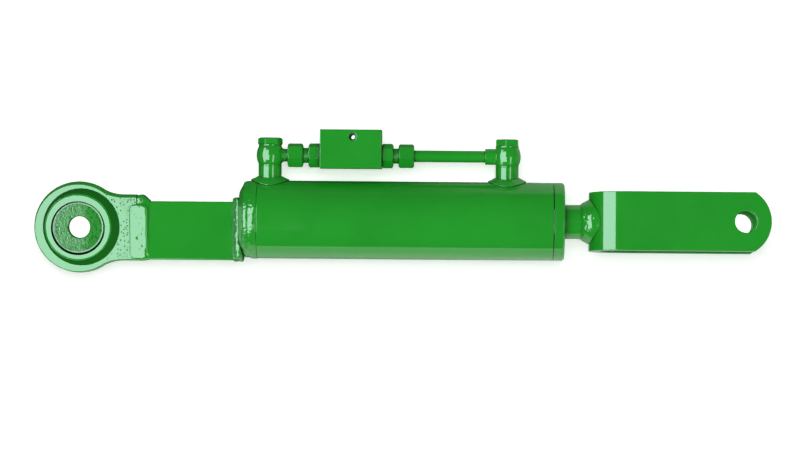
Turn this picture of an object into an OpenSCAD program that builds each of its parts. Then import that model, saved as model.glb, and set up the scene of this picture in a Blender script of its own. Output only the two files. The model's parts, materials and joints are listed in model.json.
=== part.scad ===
/* [Eye end] */
// Diameter of the forged eye at its parting line
eye_d = 94; // [88:1:104]
// Width of the eye's rim and of the neck behind it
eye_t = 24; // [18:1:24]
// How far the rim draws in from the parting line to its faces
eye_draft = 1.6; // [0.6:0.2:3]
// Rounding of the rim's and the neck's edges
eye_round = 1; // [0.6:0.2:2.4]
// Diameter of the raised hub at its face
hub_d = 67; // [64:1:72]
// Diameter where the slope round the hub meets the rim
hub_root_d = 76.6; // [73:0.2:79]
// Tilt of that slope, which makes it wider towards the neck
slope_tilt = 1.6; // [0:0.2:1.6]
// Width over both hub faces
hub_t = 30; // [29.6:0.2:32]
// Bevel of the hub's lip round the ball
hub_lip = 1.4; // [0.6:0.2:2]
// Diameter of the swivelling ball
ball_d = 60; // [56:1:61]
// Width of the ball over its flats
ball_w = 36; // [34:1:44]
// Bore of the ball for the lower link pin
ball_bore_d = 22.1; // [19:0.1:28.7]
// Running clearance between the ball and its seat
ball_gap = 0.1; // [0.05:0.01:0.3]
// Swing of the ball about the upright axis as it lies
ball_swing = 5.5; // [-10:0.5:10]
// Height of the neck where it meets the bar
neck_h = 68.2; // [62:0.2:76]
// Distance from the pin centre to the end of the neck
neck_len = 59.5; // [56:0.5:80]
// Radius of the hollow between the eye and the neck
neck_fillet_r = 42; // [30:1:48]
// How far the rim's centre lies from the pin towards the neck
rim_shift = 0.2; // [0:0.2:3]
// Twist of the forging about the link's length as it was welded on
eye_twist = 4.5; // [-6:0.5:6]

/* [Bar] */
// Length of the flat bar between the eye and the cylinder
bar_len = 104; // [60:1:240]
// Height of the flat bar
bar_h = 60; // [50:1:61]
// Thickness of the flat bar
bar_t = 20; // [14:1:23]
// How far the bar's middle lies below the pin
bar_drop = 2.7; // [0:0.1:4]
// Root gap left for the weld between the neck and the bar
root_gap = 1.5; // [0.5:0.5:3]
// Radius of the first bead laid where the bar meets the cylinder
bead_r = 3.2; // [2.4:0.2:4]

/* [Cylinder] */
// Height of the cylinder's axis over the pin
axis_z = 9.5; // [7:0.5:14]
// Outer diameter of the cylinder tube
tube_d = 80; // [78:1:86]
// Wall of the cylinder tube
tube_wall = 5; // [4.5:0.5:8]
// Travel of the rod
stroke = 185; // [100:5:400]
// Thickness of the end cap outside the tube
cap_t = 11.5; // [9:0.5:18]
// Length of the end cap's spigot inside the tube
cap_spigot = 11.5; // [6:0.5:20]
// Gap left for the weld between the cap and the tube
groove_gap = 1; // [0.5:0.5:2]
// Thickness of the weld metal over the cap joint's bevels
groove_depth = 4; // [3:0.5:4.5]

/* [Gland and rod] */
// Diameter of the piston rod
rod_d = 35; // [30:1:40]
// Length of the gland inside the tube
gland_len = 40; // [36:1:60]
// Length of the gland's collar outside the tube
collar_len = 11.4; // [9:0.2:18]
// Bevel of the collar's outer edge
collar_bevel = 1.8; // [0.6:0.2:3]
// Depth of the thread between the gland and the tube
gland_thread_deep = 1; // [0.75:0.25:1.5]
// Length of rod and weld that shows when the rod is in
rod_show = 25.3; // [20:0.5:60]
// Length of the piston
piston_len = 40; // [36:1:60]
// Diameter of the rod's spigot through the piston
spigot_d = 24; // [20:1:27]
// Width of the piston nut over its flats
piston_nut_af = 36; // [32:1:46]
// Height of the piston nut
piston_nut_h = 17; // [12:1:24]
// Running clearance of the rod in the gland and of the seals
run_gap = 0.03; // [0.02:0.01:0.06]

/* [Clevis] */
// Distance from the bend's back to the clevis pin hole
clevis_reach = 158.2; // [120:0.2:240]
// Distance from the pin hole to the tip of the ears
clevis_tip = 26; // [22:0.5:40]
// Width over both ears
clevis_w = 60; // [56:1:80]
// Height of the bent plate
clevis_h = 60; // [50:1:80]
// Thickness of the bent plate
clevis_t = 12; // [8:1:15]
// Radius of the ears' rounded ends
clevis_end_r = 35.6; // [34:0.2:60]
// Bore of the clevis for its pin
clevis_bore_d = 22.5; // [19:0.1:28.7]
// Turn of the free-turning rod end as it lies
rod_roll = -4; // [-10:0.5:10]
// Width of the weld on the clevis over the rod
clevis_weld_leg = 6; // [4:0.5:8]

/* [Ports] */
// Diameter of the port bosses
boss_d = 23.6; // [22:0.2:28]
// Height of the port bosses over the tube
boss_h = 15; // [13:0.5:24]
// Thread of the ports and of their hollow bolts
port_thread_d = 16.6; // [13:0.1:16.8]
// Oil way through the tube's wall
port_way_d = 12; // [6:0.5:12]
// Distance of the eye end's port from the cap's spigot
base_port_in = 7.4; // [7:0.2:12]
// Distance of the rod end's port from the gland
rod_port_in = 7.2; // [7:0.2:12]
// Width of the weld round each boss
boss_weld_w = 7.8; // [5:0.2:9]
// Height of the weld round each boss
boss_weld_h = 4.8; // [3:0.2:7]

/* [Banjos] */
// Height of a banjo between its washers
banjo_h = 19; // [16:0.5:24]
// Diameter of a banjo at its faces
banjo_face_d = 23; // [22:0.5:27]
// Diameter of a banjo at its middle
banjo_d = 27.8; // [26:0.2:32]
// Thickness of the sealing washers
washer_t = 1.5; // [1:0.1:2.5]
// Height of the hollow bolts' heads
bolt_head_h = 7; // [5:0.5:12]
// Width over flats of bolts, nuts and adapters
hex_af = 22; // [21.4:0.2:24]
// Diameter of the socket that takes the line
socket_d = 16.3; // [14.5:0.1:18]
// Distance from the banjo's middle to the socket's mouth
socket_reach = 22.6; // [19:0.2:40]

/* [Line and fittings] */
// Outer diameter of the line
line_d = 12; // [10:0.5:12.4]
// Bore of the line
line_bore_d = 8; // [4:0.5:8.4]
// Length of an adapter's hex
hex_len = 12; // [8:0.2:14]
// Length of a union nut
nut_len = 15.8; // [15:0.2:19]
// Thread that shows between the eye end's adapter and nut
base_show = 5.6; // [3:0.1:8]
// Thread that shows between the rod end's adapter and nut
rod_side_show = 5.4; // [3:0.1:8]
// Diameter of the thread between adapter and nut
union_thread_d = 18; // [17.6:0.1:18.8]
// Depth of the adapters' studs in the valve block
stud_len = 10; // [8:0.5:11]

/* [Valve block] */
// Length of the valve block along the cylinder
block_len = 63; // [60:1:80]
// Height of the valve block
block_h = 40; // [38:1:60]
// Depth of the valve block
block_w = 35; // [32:1:50]
// Height of the line over the block's underside
block_drop = 13.4; // [12:0.2:18]
// Distance from the eye end's port to the block
block_from_port = 51.5; // [50:0.5:90]
// Bore that holds the poppets and the pilot piston
valve_bore_d = 13; // [12:0.5:14]
// Thread bore of the two supply ports
supply_d = 11.8; // [9:0.1:12]
// Distance between the two supply ports
supply_pitch = 26; // [24:0.5:27]
// Distance of the fixing screw from the block's end
fix_in = 33.4; // [20:0.2:44]
// Distance of the fixing screw from the block's top
fix_drop = 7.5; // [6:0.5:10]
// Through hole for the block's fixing screw
fix_d = 4.5; // [3:0.1:6]
// Counterbore for the fixing screw's head
fix_head_d = 7.8; // [7:0.1:9]
// Lift of each poppet off its seat
poppet_lift = 1.2; // [0.6:0.1:1.5]

/* [Hidden] */
$fn = 96;
PAINT = [0.16, 0.56, 0.18];
STEEL = [0.72, 0.73, 0.75];
BEARING = [0.5, 0.34, 0.18];
RUBBER = [0.12, 0.12, 0.13];

eps = 0.01;
eye_r = eye_d / 2;
half_eye = eye_t / 2;
half_hub = hub_t / 2;
half_neck = neck_h / 2;
seat_r = ball_d / 2 + ball_gap;
blend = 0.3;
fillet_x = rim_shift + sqrt(pow(eye_r + neck_fillet_r - blend, 2) - pow(half_neck + neck_fillet_r, 2));
fillet_z = half_neck + neck_fillet_r;

bar_x = neck_len + root_gap;
cap_x = bar_x + bar_len;
tube_r = tube_d / 2;
bore_r = tube_r - tube_wall;
tube_x = cap_x + cap_t;
cap_in = tube_x + cap_spigot;
rest_gap = 1.5;
nut_x = cap_in + rest_gap;
piston_x = nut_x + piston_nut_h;
piston_end = piston_x + piston_len;
port_clear = rod_port_in + port_way_d / 2 + 1;
gland_x = piston_end + stroke + port_clear;
tube_end = gland_x + gland_len;
collar_end = tube_end + collar_len;
clevis_x = collar_end + rod_show;
pin_x = clevis_x + clevis_reach;
rod_r = rod_d / 2;

base_port_x = cap_in + base_port_in;
rod_port_x = gland_x - rod_port_in;
boss_top = tube_r + boss_h;
line_up = boss_top + washer_t + banjo_h / 2;
line_z = axis_z + line_up;
bolt_hole_d = port_thread_d + 0.4;
block_x = base_port_x + block_from_port;
block_end = block_x + block_len;
block_mid = (block_x + block_end) / 2;
neck_r = union_thread_d / 2 - 1.3;
nut_grip = 10.4;
line_seat = hex_len - 2;
valve_r = valve_bore_d / 2;

// A child drawn up the Z axis is laid along X.
module along_x() {
    rotate([0, 90, 0]) children();
}

// A child drawn up the Z axis is laid along Y.
module along_y() {
    rotate([-90, 0, 0]) children();
}

module on_axis() {
    translate([0, 0, axis_z]) children();
}

// Profile points are [radius, place along the axis].
module turned(points) {
    rotate_extrude() polygon(points);
}

module axis_turned(points) {
    on_axis() along_x() turned(points);
}

module ring(inner_r, outer_r, x, len) {
    axis_turned([[inner_r, x], [outer_r, x], [outer_r, x + len], [inner_r, x + len]]);
}

// A hexagonal bar from z = 0 to len, turned about its axis, with its ends bevelled.
module hex_bar(af, len, turn = 0, both = true) {
    corner = af / 2 / cos(30);
    crest = corner + 0.3;
    end_r = af / 2 - 0.5;
    rise = (crest - end_r) * 0.6;
    intersection() {
        rotate([0, 0, turn]) linear_extrude(len) circle(r = corner, $fn = 6);
        turned([
            [0, 0], [both ? end_r : crest, 0], [crest, both ? rise : 0.2],
            [crest, len - rise], [end_r, len], [0, len]
        ]);
    }
}

// How far the forging's outline draws in, as [distance from the parting line, draw].
edge_half = [
    [0, 0],
    [half_eye - eye_round, eye_draft],
    [half_eye, eye_draft + eye_round]
];
edge = concat([for (i = [2:-1:1]) [-edge_half[i].x, edge_half[i].y]], edge_half);

module eye_disc() {
    translate([rim_shift, 0, 0]) along_y() turned(concat(
        [[0, -half_eye]],
        [for (p = edge) [eye_r - p.y, p.x]],
        [[0, half_eye]]
    ));
}

// A straight length of the forging with the rim's own edges.
module forged_bar(half_height, x, len) {
    translate([x, 0, 0]) rotate([90, 0, 90]) linear_extrude(len) polygon(concat(
        [for (p = edge) [p.x, half_height - p.y]],
        [for (i = [len(edge) - 1:-1:0]) [edge[i].x, edge[i].y - half_height]]
    ));
}

// The rounded cutter that makes the hollow between the eye and the neck.
module hollow_cutter(side) {
    last = edge_half[2].y;
    translate([fillet_x, 0, side * fillet_z]) along_y() turned(concat(
        [[0, -half_eye - 1], [neck_fillet_r + last, -half_eye - 1]],
        [for (p = edge) [neck_fillet_r + p.y, p.x]],
        [[neck_fillet_r + last, half_eye + 1], [0, half_eye + 1]]
    ));
}

module neck() {
    difference() {
        rotate([90, 0, 0]) linear_extrude(eye_t, center = true)
            polygon([[rim_shift, 0], [fillet_x, fillet_z], [fillet_x, -fillet_z]]);
        for (side = [-1, 1]) hollow_cutter(side);
    }
    neck_end();
}

// The neck's straight part, up to the weld.
module neck_end() {
    forged_bar(half_neck, fillet_x - eps, neck_len - fillet_x + eps);
}

// The raised hub, with a slope down to the rim that was turned a little out of square.
module hub() {
    slope_top = half_hub - 1.05;
    top_r = hub_d / 2 - 1.2;
    slope_foot = half_eye - 1.3;
    run = (hub_root_d / 2 - top_r) / (slope_top - half_eye);
    foot_radius = top_r + run * (slope_top - slope_foot);
    along_y() cylinder(d = hub_d, h = hub_t, center = true);
    for (way = [0, 1]) mirror([0, way, 0]) rotate([0, 0, slope_tilt]) along_y() turned([
        [0, 0], [foot_radius, 0], [foot_radius, slope_foot], [top_r, slope_top], [0, slope_top]
    ]);
}

module ball_seat() {
    lip_y = half_hub - hub_lip;
    lip_r = sqrt(pow(seat_r, 2) - pow(lip_y, 2));
    along_y() rotate_extrude() intersection() {
        circle(r = seat_r);
        translate([0, -seat_r]) square([seat_r, 2 * seat_r]);
    }
    for (way = [0, 1]) mirror([0, way, 0])
        along_y() turned([[0, lip_y], [lip_r, lip_y], [lip_r + hub_lip, half_hub + 1], [0, half_hub + 1]]);
}

module twisted() {
    rotate([eye_twist, 0, 0]) children();
}

module eye_housing() {
    color(PAINT) twisted() difference() {
        union() {
            eye_disc();
            neck();
            hub();
        }
        ball_seat();
    }
}

module ball() {
    hole_r = ball_bore_d / 2;
    bevel = 0.9;
    half_w = ball_w / 2;
    color(PAINT) rotate([0, 0, ball_swing]) along_y() rotate_extrude() intersection() {
        circle(d = ball_d);
        polygon([
            [hole_r, -half_w + bevel], [hole_r + bevel, -half_w], [ball_d, -half_w],
            [ball_d, half_w], [hole_r + bevel, half_w], [hole_r, half_w - bevel]
        ]);
    }
}

bar_bevel = 0.8;

module bar_blank(len) {
    half_t = bar_t / 2;
    half_h = bar_h / 2;
    translate([bar_x, 0, -bar_drop]) rotate([90, 0, 90]) linear_extrude(len) polygon([
        [-half_t, -half_h + bar_bevel], [-half_t + bar_bevel, -half_h],
        [half_t - bar_bevel, -half_h], [half_t, -half_h + bar_bevel],
        [half_t, half_h - bar_bevel], [half_t - bar_bevel, half_h],
        [-half_t + bar_bevel, half_h], [-half_t, half_h - bar_bevel]
    ]);
}

module link_bar() {
    color(PAINT) bar_blank(bar_len);
}

// Balls at the corners of a rectangle that is turned about the link's length, to be wrapped in one hull.
module bead_corners(x, half_y, half_z, r, turn = 0) {
    for (way = [-1, 1], side = [-1, 1])
        let (y = way * (half_y - r), z = side * (half_z - r))
        translate([x, y * cos(turn) - z * sin(turn), y * sin(turn) + z * cos(turn)]) sphere(r = r, $fn = 24);
}

weld_len = 13;

module eye_weld() {
    color(PAINT) difference() {
        hull() {
            bead_corners(neck_len + 2.4, half_eye - 0.4, half_neck - 0.6, 4, eye_twist);
            bead_corners(neck_len + 5, half_eye - 0.2, half_neck - 0.4, 4, eye_twist);
            translate([0, 0, -bar_drop])
                bead_corners(bar_x + weld_len - 2.2, bar_t / 2 + 0.6, bar_h / 2 + 0.4, 2.6);
        }
        twisted() neck_end();
        bar_blank(bar_len);
    }
}

// The two bead passes seen in section, from the bar's face out to the cap, over a bar of the given half size.
module bead_passes(half, reach) {
    big_r = bead_r + 1;
    intersection() {
        union() {
            translate([cap_x - 2 * bead_r, -half - 0.4]) square([2 * bead_r + cap_bevel, 2 * half + 0.8]);
            for (side = [-1, 1]) {
                translate([cap_x - bead_r - 0.6, side * (half + 0.9)]) circle(r = bead_r);
                translate([cap_x - 0.2, side * (half + reach - big_r)]) circle(r = big_r);
            }
        }
        translate([cap_x - tube_r, -tube_d]) square([tube_r + cap_bevel, 2 * tube_d]);
    }
}

module bar_weld() {
    far = tube_d * 1.2;
    color(PAINT) difference() {
        intersection() {
            translate([0, 0, -bar_drop]) rotate([90, 0, 0]) linear_extrude(far, center = true)
                bead_passes(bar_h / 2, bead_r);
            linear_extrude(far, center = true) bead_passes(bar_t / 2, 2.5 * bead_r);
            on_axis() along_x() cylinder(r = tube_r + 3, h = tube_x);
        }
        bar_blank(bar_len + eps);
        end_cap();
    }
}

// The cap's bevelled face, and the land under the weld that joins it to the tube.
cap_face_r = tube_r - 10.5;
cap_bevel = 3.5;
land_r = tube_r - groove_depth;
spigot_fit_r = bore_r - 0.1;

module end_cap() {
    color(PAINT) axis_turned([
        [0, cap_x], [cap_face_r, cap_x], [land_r, cap_x + cap_bevel], [land_r, tube_x],
        [spigot_fit_r, tube_x], [spigot_fit_r, cap_in - 1], [spigot_fit_r - 1, cap_in], [0, cap_in]
    ]);
}

tube_bevel_x = tube_x + groove_gap + 6.5;
valley_x = tube_x - 1;

module cap_weld() {
    crown = 0.4;
    color(PAINT) axis_turned([
        [land_r, cap_x + cap_bevel], [tube_r - 1.5, cap_x + cap_bevel + 1.6],
        [tube_r - 0.6, valley_x - 2.6], [tube_r - 1, valley_x],
        [tube_r + 0.1, valley_x + 2], [tube_r + crown, valley_x + 5], [tube_r, tube_bevel_x],
        [land_r, tube_x + groove_gap], [bore_r, tube_x + groove_gap],
        [bore_r, tube_x], [land_r, tube_x]
    ]);
}

thread_x = tube_end - gland_len + 12;
gland_thread_r = bore_r + gland_thread_deep;

module tube_blank() {
    axis_turned([
        [bore_r, tube_x + groove_gap], [land_r, tube_x + groove_gap], [tube_r, tube_bevel_x],
        [tube_r, tube_end], [gland_thread_r, tube_end], [gland_thread_r, thread_x + 1], [bore_r, thread_x]
    ]);
}

module at_port(x) {
    translate([x, 0, axis_z]) children();
}

module cylinder_tube() {
    color(PAINT) difference() {
        tube_blank();
        for (x = [base_port_x, rod_port_x])
            at_port(x) translate([0, 0, bore_r / 2]) cylinder(d = port_way_d, h = tube_r);
    }
}

bolt_foot = tube_r + 3.5;

module port_boss() {
    difference() {
        cylinder(d = boss_d, h = boss_top);
        along_x() cylinder(r = tube_r, h = 2 * boss_d, center = true);
        cylinder(d = port_way_d, h = boss_top);
        translate([0, 0, bolt_foot - 1]) cylinder(d = port_thread_d + 0.1, h = boss_top);
    }
}

module base_boss() {
    color(PAINT) at_port(base_port_x) port_boss();
}

module rod_boss() {
    color(PAINT) at_port(rod_port_x) port_boss();
}

// The radius that a boss weld's foot follows, over the tube and over the cap's ring weld.
function foot_r(x) = lookup(x, [
    [valley_x - 3, tube_r - 0.4], [valley_x, tube_r - 0.75], [valley_x + 2, tube_r + 0.35],
    [valley_x + 5, tube_r + 0.6], [tube_bevel_x, tube_r + 0.2], [tube_bevel_x + 1.5, tube_r + 0.04]
]);

// One section of the weld that runs from the tube up to the boss at x.
function weld_section(x, a) =
    let (
        boss_r = boss_d / 2 / cos(180 / weld_sections) + 0.02,
        rise = boss_weld_h * (1 + 0.05 * sin(9 * a)),
        reach = boss_weld_w * (1 + 0.03 * sin(7 * a + 40)),
        at = function (r, base_r, up)
            [r * cos(a), r * sin(a), sqrt(pow(base_r, 2) - pow(r * sin(a), 2)) + up],
        under = function (r) at(r, foot_r(x + r * cos(a)), 0)
    )
    concat(
        [under(boss_r)],
        [for (s = [0:0.2:1]) at(boss_r + reach * s, tube_r, rise * (0.22 + 0.78 * pow(1 - s, 1.15)))],
        [for (s = [1:-0.2:0.2]) under(boss_r + reach * s)]
    );

weld_sections = 48;

module boss_weld(x) {
    sections = [for (i = [0:weld_sections - 1]) weld_section(x, 360 * i / weld_sections)];
    n = len(sections[0]);
    at_port(x) polyhedron(
        points = [for (s = sections) for (p = s) p],
        faces = [for (i = [0:weld_sections - 1]) for (k = [0:n - 1])
            let (j = (i + 1) % weld_sections, m = (k + 1) % n)
            for (f = [[i * n + k, j * n + m, i * n + m], [i * n + k, j * n + k, j * n + m]]) f]
    );
}

module base_boss_weld() {
    color(PAINT) boss_weld(base_port_x);
}

module rod_boss_weld() {
    color(PAINT) boss_weld(rod_port_x);
}

// The hollow bolt, with the oil way that feeds the banjo round its waist.
module hollow_bolt(turn) {
    seat = boss_top + 2 * washer_t + banjo_h;
    shank_r = port_thread_d / 2;
    waist_r = shank_r - 1.6;
    half_waist = banjo_h / 2 - 3;
    difference() {
        union() {
            translate([0, 0, seat]) hex_bar(hex_af, bolt_head_h, turn, false);
            turned([
                [0, bolt_foot], [shank_r - 0.8, bolt_foot], [shank_r, bolt_foot + 0.8],
                [shank_r, line_up - half_waist], [waist_r, line_up - half_waist],
                [waist_r, line_up + half_waist], [shank_r, line_up + half_waist],
                [shank_r, seat + 1], [0, seat + 1]
            ]);
        }
        translate([0, 0, bolt_foot - 1]) cylinder(d = line_bore_d, h = line_up + 3 - bolt_foot);
        translate([0, 0, line_up]) for (way = [0, 90]) rotate([0, 0, way])
            along_x() cylinder(d = line_bore_d * 0.7, h = 2 * port_thread_d, center = true);
    }
}

module base_bolt() {
    color(PAINT) at_port(base_port_x) hollow_bolt(8);
}

module rod_bolt() {
    color(PAINT) at_port(rod_port_x) hollow_bolt(24);
}

module sealing_washers() {
    color(PAINT) for (x = [base_port_x, rod_port_x], z = [boss_top, boss_top + washer_t + banjo_h])
        at_port(x) translate([0, 0, z]) difference() {
            cylinder(d = banjo_face_d + 0.6, h = washer_t);
            translate([0, 0, -1]) cylinder(d = bolt_hole_d, h = washer_t + 2);
        }
}

// A banjo's rounded body, centred on the line, with its arm added by the child.
module banjo() {
    half = banjo_h / 2;
    belly = (banjo_d - banjo_face_d) / 2;
    arc_r = (pow(half, 2) + pow(belly, 2)) / 2 / belly;
    arc_half = asin(half / arc_r);
    steps = 8;
    profile = [for (i = [0:steps])
        let (a = arc_half * (2 * i / steps - 1))
        [banjo_d / 2 - arc_r * (1 - cos(a)), arc_r * sin(a)]];
    difference() {
        union() {
            turned(concat([[0, -half]], profile, [[0, half]]));
            children();
        }
        cylinder(d = bolt_hole_d, h = 2 * banjo_h, center = true);
    }
}

base_tail = block_x - base_port_x - line_seat - 0.5;
base_nut_back = block_x - base_port_x - hex_len - base_show - nut_len;

module base_banjo() {
    shoulder_r = banjo_h / 2 - 0.3;
    stub_r = line_d / 2 + 0.6;
    color(PAINT) translate([base_port_x, 0, line_z]) difference() {
        banjo() along_x() turned([
            [0, 0], [shoulder_r, banjo_d / 2 - 4.8], [stub_r, banjo_d / 2],
            [stub_r, base_nut_back - 0.2], [line_d / 2, base_nut_back - 0.2],
            [line_d / 2, base_tail], [0, base_tail]
        ]);
        along_x() cylinder(d = line_bore_d, h = base_tail + 1);
    }
}

line_in = 10;

module rod_banjo() {
    color(PAINT) translate([rod_port_x, 0, line_z]) mirror([1, 0, 0]) difference() {
        banjo() along_x() cylinder(d = socket_d, h = socket_reach);
        along_x() cylinder(d = line_bore_d, h = socket_reach);
        translate([socket_reach - line_in, 0, 0]) along_x() cylinder(d = line_d, h = line_in + 1);
    }
}

// The frame of each fitting, which looks out of the block along +X.
module at_fitting(base_side) {
    translate([base_side ? block_x : block_end, 0, line_z]) mirror([base_side ? 1 : 0, 0, 0]) children();
}

module union_nut(start, turn) {
    thread_r = union_thread_d / 2 + 0.05;
    hole_r = line_d / 2 + 0.15;
    deep = nut_grip + 1.4;
    cone_end = deep + thread_r - hole_r;
    translate([start, 0, 0]) difference() {
        along_x() hex_bar(hex_af, nut_len, turn);
        along_x() turned([
            [0, -1], [thread_r, -1], [thread_r, deep],
            [hole_r, cone_end], [hole_r, nut_len + 1], [0, nut_len + 1]
        ]);
    }
}

module union_nuts() {
    color(PAINT) {
        at_fitting(true) union_nut(hex_len + base_show, 45);
        at_fitting(false) union_nut(hex_len + rod_side_show, 44);
    }
}

module cutting_ring(start) {
    line_r = line_d / 2;
    mouth_r = line_r + 1.45;
    translate([start, 0, 0]) along_x() turned([
        [line_r, 6], [line_r + 0.3, 6], [mouth_r, nut_grip], [line_r + 2.5, nut_grip + 1.5],
        [line_r + 1.1, nut_grip + 2.9], [line_r, nut_grip + 2.9]
    ]);
}

module cutting_rings() {
    color(STEEL) {
        at_fitting(true) cutting_ring(hex_len + base_show);
        at_fitting(false) cutting_ring(hex_len + rod_side_show);
    }
}

seal_groove_r = 2;

// The stud's end, which carries the poppet's spring.
spring_land = 2.5;
spring_land_r = valve_r - 3.7;

module adapter(show, turn) {
    stud_r = port_thread_d / 2;
    thread_r = union_thread_d / 2;
    line_r = line_d / 2;
    tip = hex_len + show + nut_grip;
    difference() {
        union() {
            along_x() hex_bar(hex_af, hex_len, turn);
            along_x() turned([
                [0, -stud_len], [stud_r - 0.8, -stud_len], [stud_r, -stud_len + 0.8], [stud_r, -2.4],
                [stud_r - 1, -2.2], [stud_r - 1, 0.2], [neck_r, 0.2], [neck_r, hex_len + show - 0.8],
                [thread_r, hex_len + show + 0.5], [thread_r, tip - 0.8], [thread_r - 0.8, tip], [0, tip]
            ]);
        }
        along_x() turned([
            [0, -stud_len - 1], [spring_land_r, -stud_len - 1], [spring_land_r, spring_land - stud_len],
            [line_bore_d / 2, spring_land - stud_len], [line_bore_d / 2, line_seat],
            [line_r + 0.05, line_seat], [line_r + 0.05, tip - 6.4],
            [line_r + 1.55, tip], [line_r + 1.55, tip + 1], [0, tip + 1]
        ]);
        along_x() turned([
            [stud_r, -1], [stud_r + seal_groove_r, -1], [stud_r + seal_groove_r, 1.2], [stud_r, 1.2]
        ]);
    }
}

module base_adapter() {
    color(PAINT) at_fitting(true) adapter(base_show, 48);
}

module rod_adapter() {
    color(PAINT) at_fitting(false) adapter(rod_side_show, 53);
}

module stud_seals() {
    stud_r = port_thread_d / 2;
    color(RUBBER) for (base_side = [true, false]) at_fitting(base_side) along_x() turned([
        [stud_r, 0], [stud_r + seal_groove_r, 0], [stud_r + seal_groove_r, 1.2], [stud_r, 1.2]
    ]);
}

module line_tube() {
    start = block_end + line_seat + 0.5;
    finish = rod_port_x - socket_reach + line_in;
    color(PAINT) translate([start, 0, line_z]) along_x() difference() {
        cylinder(d = line_d, h = finish - start);
        translate([0, 0, -1]) cylinder(d = line_bore_d, h = finish - start + 2);
    }
}

seat_in = 19;
seat_len = 3.4;
fix_x = block_x + fix_in;
block_foot = line_z - block_drop;

module valve_block() {
    half_w = block_w / 2;
    bevel = 0.6;
    stud_r = port_thread_d / 2 + 0.05;
    supply_r = supply_d / 2;
    supply_deep = 10;
    color(PAINT) difference() {
        translate([block_x, 0, block_foot]) rotate([90, 0, 90]) linear_extrude(block_len) polygon([
            [-half_w, bevel], [-half_w + bevel, 0], [half_w - bevel, 0], [half_w, bevel],
            [half_w, block_h - bevel], [half_w - bevel, block_h],
            [-half_w + bevel, block_h], [-half_w, block_h - bevel]
        ]);
        translate([block_x, 0, line_z]) along_x() turned([
            [0, -1], [stud_r, -1], [stud_r, stud_len + 0.6], [valve_r, stud_len + 0.6],
            [valve_r, block_len - stud_len - 0.6], [stud_r, block_len - stud_len - 0.6],
            [stud_r, block_len + 1], [0, block_len + 1]
        ]);
        for (side = [-1, 1]) {
            translate([block_mid + side * supply_pitch / 2, half_w - supply_deep, line_z])
                along_y() cylinder(r = supply_r, h = supply_deep + 1);
            translate([block_mid + side * (supply_pitch / 2 - 0.6), half_w - supply_deep + 1, line_z])
                rotate([0, 0, side * 61]) along_y() mirror([0, 0, 1]) cylinder(d = 3.6, h = 9);
        }
        translate([fix_x, 0, block_foot + block_h - fix_drop]) along_y() {
            cylinder(d = fix_d, h = 2 * block_w, center = true);
            translate([0, 0, -half_w - 1]) cylinder(d = fix_head_d, h = 6);
        }
    }
}

module valve_seats() {
    hole_r = valve_r - 3;
    color(STEEL) for (base_side = [true, false]) at_fitting(base_side) mirror([1, 0, 0]) along_x() turned([
        [hole_r + 1.2, seat_in], [valve_r, seat_in], [valve_r, seat_in + seat_len],
        [hole_r, seat_in + seat_len], [hole_r, seat_in + 1.2]
    ]);
}

poppet_len = seat_in - stud_len - poppet_lift - 0.5;
cup_r = valve_r - 2.2;

// A cup with a cone nose, its skirt cut by three flats that let the oil by.
module poppet() {
    nose_r = valve_r - 2;
    floor_x = seat_in - 2.2;
    difference() {
        mirror([1, 0, 0]) along_x() turned([
            [cup_r, seat_in - poppet_len], [valve_r - 0.05, seat_in - poppet_len],
            [valve_r - 0.05, seat_in - 1], [valve_r - 1, seat_in - 0.2], [nose_r, seat_in - 0.2],
            [nose_r - 1.5, seat_in + 1.3], [0, seat_in + 1.3], [0, floor_x], [cup_r, floor_x]
        ]);
        for (a = [0, 120, 240]) rotate([a, 0, 0])
            translate([-seat_in, valve_r - 0.9, -valve_r]) cube([seat_in, valve_r, valve_bore_d]);
    }
}

module base_poppet() {
    color(STEEL) at_fitting(true) poppet();
}

module rod_poppet() {
    color(STEEL) at_fitting(false) poppet();
}

// A coil spring swept along +Z, its wire's centre on a helix.
module coil(coil_r, wire_r, height, turns) {
    sides = 6;
    steps = 12;
    count = steps * turns;
    rise = height - 2 * wire_r;
    points = [for (i = [0:count]) let (a = 360 * i / steps, z = wire_r + rise * i / count)
        for (k = [0:sides - 1]) let (b = 360 * k / sides, r = coil_r + wire_r * cos(b))
        [r * cos(a), r * sin(a), z + wire_r * sin(b)]];
    polyhedron(points, concat(
        [[for (k = [sides - 1:-1:0]) k]],
        [[for (k = [0:sides - 1]) count * sides + k]],
        [for (i = [0:count - 1]) for (k = [0:sides - 1]) let (m = (k + 1) % sides, n = i * sides)
            for (f = [[n + k, n + sides + m, n + sides + k], [n + k, n + m, n + sides + m]]) f]
    ));
}

spring_wire_r = 0.45;

module poppet_springs() {
    free_len = seat_in - 2.2 - stud_len - poppet_lift - 0.15;
    color(STEEL) for (base_side = [true, false]) at_fitting(base_side) mirror([1, 0, 0])
        translate([stud_len, 0, 0]) along_x() coil(cup_r - spring_wire_r - 0.2, spring_wire_r, free_len, 3);
}

pilot_len = 8;
pilot_play = 0.6;

module pilot_piston() {
    nose_r = valve_r - 4.2;
    reach = block_len / 2 - seat_in - 1.3 - pilot_play - 0.1;
    groove = pilot_len / 2 - 2.9;
    body_r = valve_r - 0.04;
    color(STEEL) translate([block_mid, 0, line_z]) along_x() turned([
        [0, -reach], [nose_r, -reach], [nose_r, -pilot_len / 2], [body_r, -pilot_len / 2],
        [body_r, -groove], [valve_r - 1.8, -groove], [valve_r - 1.8, groove], [body_r, groove],
        [body_r, pilot_len / 2], [nose_r, pilot_len / 2], [nose_r, reach], [0, reach]
    ]);
}

module pilot_seal() {
    half = pilot_len / 2 - 2.9;
    color(RUBBER) translate([block_mid, 0, line_z]) along_x() turned([
        [valve_r - 1.8, -half], [valve_r - 0.03, -half], [valve_r - 0.03, half], [valve_r - 1.8, half]
    ]);
}

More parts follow.
